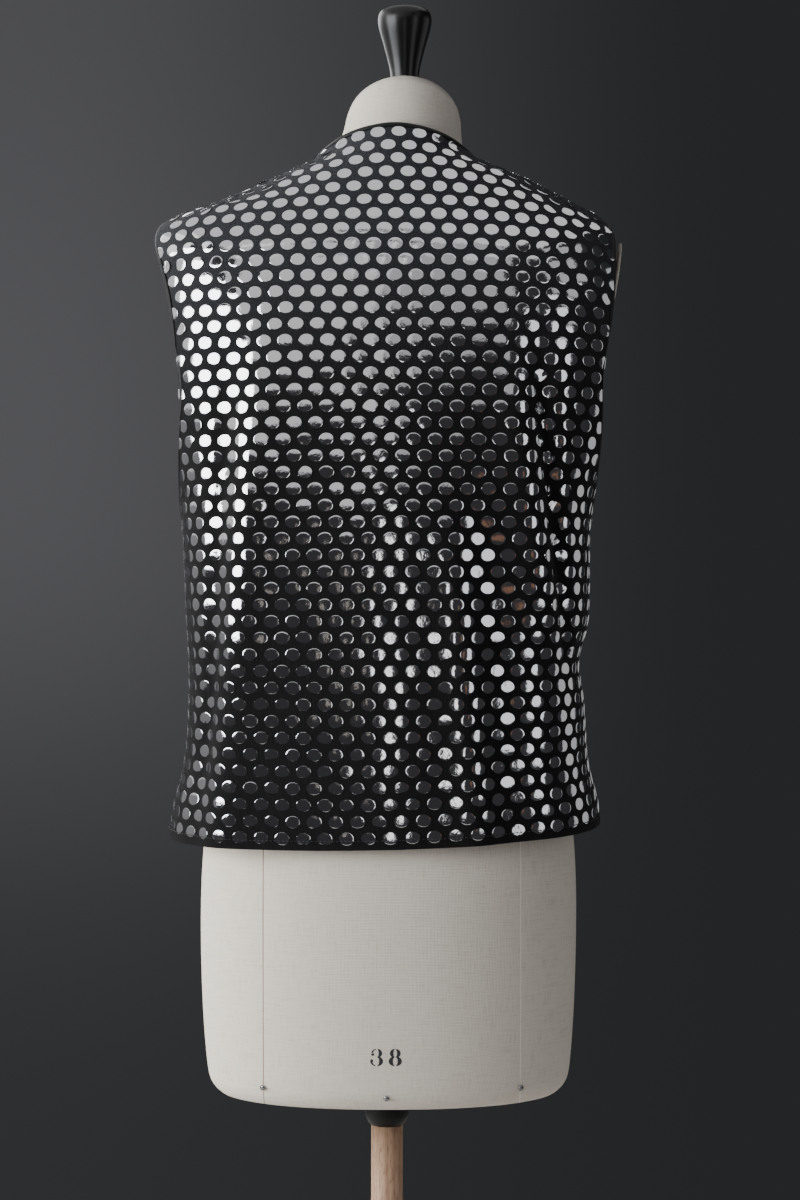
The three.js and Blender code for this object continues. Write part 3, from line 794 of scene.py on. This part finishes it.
def share_at(face, along, z):
    """The share across the cloth of a spot at a true distance from the centre line."""
    side = -1 if along < 0 else 1
    z = round(z, 1)
    angles, true_lengths = fine_lengths(face, side, z)
    lengths = coat_quarter(face, side, z)[4]
    target = min(abs(along), true_lengths[-1])
    i = 1
    while true_lengths[i] < target:
        i += 1
    t = (target - true_lengths[i - 1]) / (true_lengths[i] - true_lengths[i - 1])
    steps = mix(angles[i - 1], angles[i], t) / (math.pi / 2) * section_steps
    low = min(int(steps), section_steps - 1)
    return side * mix(lengths[low], lengths[low + 1], steps - low) / lengths[-1]


def column_path(face, along):
    """Heights, and lengths up the cloth, along a line at a fixed distance from the centre."""
    side = -1 if along < 0 else 1
    heights, lengths = [], []
    before = None
    z = path_low_z
    while z <= path_high_z:
        point = coat_point(face, share_at(face, along, z), z)
        lengths.append(lengths[-1] + (point - before).length if before else 0.0)
        heights.append(z)
        before = point
        z += path_step
    start = lengths[int((level_row_z - path_low_z) / path_step)]
    return heights, [length - start for length in lengths]


def height_on_path(path, length):
    """The height at a length up a column's path, or None past its ends."""
    heights, lengths = path
    if length < lengths[0] or length > lengths[-1]:
        return None
    for i in range(1, len(lengths)):
        if lengths[i] >= length:
            t = (length - lengths[i - 1]) / (lengths[i] - lengths[i - 1])
            return mix(heights[i - 1], heights[i], t)
    return None


def edge_room(face, along, z):
    """How far a spot is from the panel's outer edge, in millimetres."""
    side = -1 if along < 0 else 1
    return outer_share(face, side, z) * coat_length(face, side, round(z, 2)) - abs(along)


def panel_limits(face, side, along, z):
    """How far left and right of a spot the discs may reach: a little under the bindings, and
    just short of the seams."""
    whole = coat_length(face, side, round(z, 2))
    under = under_binding if armhole_bottom_z < z < shoulder_tip_z else -0.2
    far = (outer_share(face, side, z) * whole + under) - abs(along)
    if face == "back":
        return (-1e3, far) if side > 0 else (-far, 1e3)
    near = (inner_share(side, z) * whole - under_binding) - abs(along)
    return (near, far) if side > 0 else (-far, -near)


def add_disc(points, faces, face, along, z, draw):
    """Adds one disc: a low dome with a bevelled rim, bent with the cloth under it, tilted a
    little at random, and cut off where it passes an edge."""
    side = -1 if along < 0 else 1
    whole = coat_length(face, side, round(z, 2))
    share = share_at(face, along, z)
    point, across, normal = coat_spot(face, share, z)
    up = normal.cross(across)
    if up.z < 0:
        up = -up
    bend = []
    for step in (-bend_reach, bend_reach):
        beside = coat_point(face, share_at(face, along + step, z), z)
        bend.append((beside - point).dot(normal) / bend_reach ** 2)
    bend_up = []
    for step in (-bend_reach_up, bend_reach_up):
        above = coat_point(face, share, z + step * max(up.z, steepest)) - point
        bend_up.append(above.dot(normal) / above.length_squared)
    on_flank = smooth((abs(share) - 0.5) / 0.15) * smooth((z - 1020) / 90)
    unrest = disc_unrest + flank_unrest * on_flank
    tilt_across = draw.gauss(0, unrest)
    tilt_up = draw.gauss(0, unrest) + hem_tilt * smooth((1120 - z) / 160)
    size = draw.uniform(1 - disc_size_spread, 1 + disc_size_spread)
    dome = disc_dome * draw.uniform(0.6, 1.3)
    top_limit = 1e3
    if face == "back" and z > neck_zone_z:
        neck_z = neck_point_z + back_neck_rise * math.cos(share * math.pi / 2) ** 2
        top_limit = (neck_z - z) / max(up.z, steepest) + under_binding
    near_edge = edge_room(face, along, z) < near_edge_reach
    if face == "front":
        near_edge = near_edge or abs(along) - inner_share(side, z) * whole < near_edge_reach

    def place(u, v, rise):
        """A point of the disc, u across and v up from its middle."""
        v = min(v, top_limit)
        if near_edge:
            low, high = panel_limits(face, side, along, z + v * up.z)
            u = clamp(u, low, high) if low < high else 0
        curve = bend[1 if u > 0 else 0] * u * u + bend_up[1 if v > 0 else 0] * v * v
        lift = disc_lift + rise + curve + u * tilt_across + v * tilt_up
        return (point + across * u + up * v + normal * lift) * mm

    low, high = panel_limits(face, side, along, z)
    if high < -2.5 or low > 2.5 or top_limit < -2.0 or high - low < narrowest_disc:
        return
    first = len(points)
    points.append(place(0, 0, dome + disc_bevel))
    rings = (
        (0.8, dome * 0.36 + disc_bevel), (0.94, disc_bevel * 0.75),
        (1.0, 0.0), (1.0, -disc_thickness),
    )
    for share_out, rise in rings:
        for i in range(disc_sides):
            angle = 2 * math.pi * i / disc_sides
            u = disc_half_width * size * share_out * math.cos(angle)
            v = disc_half_height * size * share_out * math.sin(angle)
            points.append(place(u, v, rise))
    for i in range(disc_sides):
        j = (i + 1) % disc_sides
        faces.append((first, first + 1 + i, first + 1 + j))
        for ring in range(len(rings) - 1):
            a = first + 1 + ring * disc_sides
            faces.append((a + i, a + disc_sides + i, a + disc_sides + j, a + j))
    last = first + 1 + (len(rings) - 1) * disc_sides
    faces.append(tuple(last + i for i in reversed(range(disc_sides))))


def disc_sheet(name, face, sides, seed):
    """All discs of one panel, joined in one mesh. Every second place of the grid is left out,
    and so are the shoulder seam and the cloth under the last row."""
    draw = random.Random(seed)
    points, faces = [], []
    for step in range(-last_column, last_column + 1):
        along = step * disc_pitch / 2 + disc_offset
        if (-1 if along < 0 else 1) not in sides:
            continue
        path = column_path(face, along)
        for row in range(top_row, bottom_row):
            if (row + step) % 2:
                continue
            z = height_on_path(path, (level_row - row) * row_pitch)
            if z is None:
                continue
            share = share_at(face, along, z)
            z += hem_rise(face, share, z)
            if z < hem_z + hem_rise(face, share, hem_z) + disc_half_height + hem_bare:
                continue
            if z > shoulder_tip_z - shoulder_zone and edge_room(face, along, z) < shoulder_bare:
                continue
            add_disc(points, faces, face, along, z, draw)
    mesh = bpy.data.meshes.new(name)
    mesh.from_pydata(points, [], faces)
    piece = bpy.data.objects.new(name, mesh)
    bpy.context.scene.collection.objects.link(piece)
    select_only(piece)
    bpy.ops.object.mode_set(mode="EDIT")
    bpy.ops.mesh.select_all(action="SELECT")
    bpy.ops.mesh.remove_doubles(threshold=0.01 * mm)
    bpy.ops.mesh.normals_make_consistent(inside=False)
    bpy.ops.object.mode_set(mode="OBJECT")
    bpy.ops.object.shade_smooth_by_angle(angle=math.radians(40))
    return piece


# Aluminium coated film is nearly a mirror. Pressed onto a knit it crumples, drawn about 4 mm
# from one dent to the next.
foil, foil_tree, foil_shader = new_material("silver foil", "#d9d9dc", 0.07, metallic=1.0)
foil_place = add_node(foil_tree, "ShaderNodeTexCoord")
foil_crumple = add_node(
    foil_tree, "ShaderNodeTexNoise", {"Scale": 260.0, "Detail": 3.0},
    {"Vector": foil_place.outputs["Object"]})
foil_bump = add_node(
    foil_tree, "ShaderNodeBump", {"Strength": 0.22, "Distance": 0.5 * mm},
    {"Height": foil_crumple.outputs["Fac"]})
foil_tree.links.new(foil_bump.outputs[0], foil_shader.inputs["Normal"])
discs = {
    "back": disc_sheet("foil_discs_back", "back", (-1, 1), 11),
    "front_left": disc_sheet("foil_discs_front_left", "front", (-1,), 12),
    "front_right": disc_sheet("foil_discs_front_right", "front", (1,), 13),
}
for disc_piece in discs.values():
    finish_piece(disc_piece, foil, "foil_disc_knit")


# Hem stitches
# One row of black thread that holds the turned-up hem, sewn through the last row of discs.
# Each stitch is a short bow whose ends go into the cloth.
stitch_height = 8.0
stitch_pitch = 3.6
stitch_length = 2.5
stitch_half_width = 0.4
stitch_lift = 0.75
stitch_sink = 0.4
stitch_waist = 0.34
side_seam_bare = 2.5


def add_stitch(points, faces, face, share, z):
    """Adds one stitch along the hem, four-sided and pointed at both ends."""
    point, across, normal = coat_spot(face, share, z)
    up = normal.cross(across)
    first = len(points)
    middle = point + normal * stitch_lift
    points.append((middle - across * stitch_length / 2 - normal * stitch_sink) * mm)
    for end in (-stitch_waist, stitch_waist):
        for out, rise in ((0, 1), (1, 0), (0, -1), (-1, 0)):
            bow = normal * rise * stitch_half_width + up * out * stitch_half_width
            points.append((middle + across * stitch_length * end + bow) * mm)
    points.append((middle + across * stitch_length / 2 - normal * stitch_sink) * mm)
    for i in range(4):
        j = (i + 1) % 4
        faces.append((first, first + 1 + j, first + 1 + i))
        faces.append((first + 1 + i, first + 1 + j, first + 5 + j, first + 5 + i))
        faces.append((first + 9, first + 5 + i, first + 5 + j))


stitch_points, stitch_faces = [], []
for face in ("back", "front"):
    for side in (-1, 1):
        whole = coat_length(face, side, hem_z + stitch_height)
        along = whole - side_seam_bare
        nearest = 1.0
        if face == "front":
            nearest = inner_share(side, hem_z + stitch_height) * whole + 2
        while along > nearest:
            share = side * along / whole
            z = hem_z + stitch_height + hem_rise(face, share, hem_z)
            add_stitch(stitch_points, stitch_faces, face, share, z)
            along -= stitch_pitch
stitch_mesh = bpy.data.meshes.new("hem_stitches")
stitch_mesh.from_pydata(stitch_points, [], stitch_faces)
stitches = bpy.data.objects.new("hem_stitches", stitch_mesh)
bpy.context.scene.collection.objects.link(stitches)
select_only(stitches)
bpy.ops.object.mode_set(mode="EDIT")
bpy.ops.mesh.select_all(action="SELECT")
bpy.ops.mesh.normals_make_consistent(inside=False)
bpy.ops.object.mode_set(mode="OBJECT")
bpy.ops.object.shade_smooth()
thread, _, _ = new_material("black polyester thread", "#141416", 0.45)
finish_piece(stitches, thread, "foil_disc_knit")


# Floor and light
# A pale floor that ends behind the form, and a plain grey room whose far wall is paler at the
# left and level with the form. Soft boxes of light stand round it: a wide one overhead and
# two high behind the camera, a strong one at the left, and weaker ones elsewhere.
floor_radius = 1.85
floor_thickness = 0.02
bpy.ops.mesh.primitive_cylinder_add(
    vertices=128, radius=floor_radius, depth=floor_thickness,
    location=(0, 0, -floor_thickness / 2 - 0.5 * mm))
floor = bpy.context.active_object
floor.name = "floor"
floor_paint, _, _ = new_material("pale floor", "#cfcdc9", 0.8)
floor.data.materials.append(floor_paint)

world = bpy.data.worlds.new("room")
world.use_nodes = True
room = world.node_tree
room_way = add_node(room, "ShaderNodeTexCoord")
room_axes = add_node(room, "ShaderNodeSeparateXYZ", links={"Vector": room_way.outputs["Generated"]})
leftward = add_node(
    room, "ShaderNodeMapRange", {"From Min": 0.13, "From Max": -0.16}, {"Value": room_axes.outputs[0]},
    interpolation_type="SMOOTHSTEP")
level = add_node(
    room, "ShaderNodeMapRange", {"From Min": -0.22, "From Max": 0.22}, {"Value": room_axes.outputs[2]})
glow = add_node(room, "ShaderNodeValToRGB", links={"Fac": level.outputs[0]})
glow.color_ramp.elements[0].color = linear("#5c5c5c")
glow.color_ramp.elements[1].color = linear("#d0d0d0")
glow.color_ramp.interpolation = "B_SPLINE"
glow_low = glow.color_ramp.elements.new(0.26)
glow_low.color = linear("#7a7a7a")
glow_middle = glow.color_ramp.elements.new(0.56)
glow_middle.color = linear("#ffffff")
left_glow = add_node(
    room, "ShaderNodeMath", links={0: leftward.outputs[0], 1: glow.outputs[0]}, operation="MULTIPLY")
far_wall = add_node(
    room, "ShaderNodeMixRGB", {"Color1": linear("#2a2b2c"), "Color2": linear("#5c5c5f")},
    {"Fac": left_glow.outputs[0]})
room_ahead = add_node(
    room, "ShaderNodeMapRange", {"From Min": -0.2, "From Max": 0.2}, {"Value": room_axes.outputs[1]})
room_walls = add_node(
    room, "ShaderNodeMixRGB", {"Color1": linear("#38383a")},
    {"Fac": room_ahead.outputs[0], "Color2": far_wall.outputs[0]})
room.links.new(room_walls.outputs[0], room.nodes["Background"].inputs["Color"])
bpy.context.scene.world = world

# Places and sizes are in metres, and radiance is how bright a box's face is. Its reach tells
# what it shines on: all surfaces, matt ones, or only those that mirror it.
light_columns = ("name", "place", "target", "width", "height", "radiance", "colour", "reach")
soft_boxes = [dict(zip(light_columns, row)) for row in (
    ("upper_wall_left", (-1.15, -2.9, 2.5), (-0.1, 0, 1.25), 2.3, 1.9, 0.74, "#ffffff", "all"),
    ("upper_wall_right", (0.75, -3.0, 2.75), (0.1, 0, 1.25), 1.7, 1.6, 0.46, "#ffffff", "all"),
    ("ceiling", (-0.3, -0.35, 3.4), (-0.3, -0.35, 1.3), 4.8, 4.5, 0.8, "#ffffff", "mirrored"),
    ("left_window", (-2.35, -1.35, 1.5), (0, -0.1, 1.3), 2.1, 1.5, 8.5, "#fbfdff", "all"),
    ("left_fill", (-2.5, -0.2, 1.2), (0, 0, 1.0), 2.0, 1.5, 8.0, "#fbfff4", "matt"),
    ("left_wall", (-2.3, 0.6, 0.8), (0, 0, 1.0), 2.3, 0.9, 0.2, "#ffffff", "all"),
    ("left_middle", (-2.3, 0.6, 1.7), (0, 0, 1.3), 2.3, 0.9, 0.8, "#ffffff", "all"),
    ("left_high", (-2.2, 0.2, 2.5), (0, 0, 1.3), 2.4, 0.8, 1.6, "#ffffff", "all"),
    ("slit", (-0.05, -3.0, 0.8), (0, 0, 1.0), 0.27, 1.1, 2.0, "#ffffff", "all"),
    ("low_left", (-0.75, -3.2, 0.8), (0, 0, 1.1), 0.1, 0.5, 0.5, "#fff2e4", "all"),
    ("low_right", (1.25, -2.8, 0.7), (0, 0, 1.1), 0.3, 0.4, 0.35, "#c98a62", "all"),
    ("right_window", (1.75, -1.65, 1.2), (0, -0.1, 1.1), 0.75, 1.5, 1.25, "#fbfcff", "all"),
    ("right_wall", (2.3, 0.7, 1.2), (0, 0, 1.2), 1.4, 1.8, 0.5, "#ffffff", "all"),
    ("right_high", (2.1, -1.2, 2.5), (0, 0, 1.25), 1.0, 0.8, 0.5, "#ffffff", "all"),
    ("front_wall", (0.4, 3.0, 1.1), (0, 0, 1.1), 2.4, 1.0, 0.4, "#ffffff", "all"),
    ("front_window", (-1.9, 2.3, 2.4), (0, 0.1, 1.1), 2.2, 1.6, 3.4, "#ffffff", "all"),
)]
for box in soft_boxes:
    light_data = bpy.data.lights.new(box["name"], "AREA")
    light_data.shape = "RECTANGLE"
    light_data.size = box["width"]
    light_data.size_y = box["height"]
    light_data.energy = box["radiance"] * math.pi * box["width"] * box["height"]
    light_data.color = linear(box["colour"])[:3]
    light = bpy.data.objects.new(box["name"], light_data)
    light.visible_camera = False
    light.visible_diffuse = box["reach"] != "mirrored"
    light.visible_glossy = box["reach"] != "matt"
    light.location = box["place"]
    aim = Vector(box["target"]) - Vector(box["place"])
    light.rotation_euler = aim.to_track_quat("-Z", "Y").to_euler()
    bpy.context.scene.collection.objects.link(light)
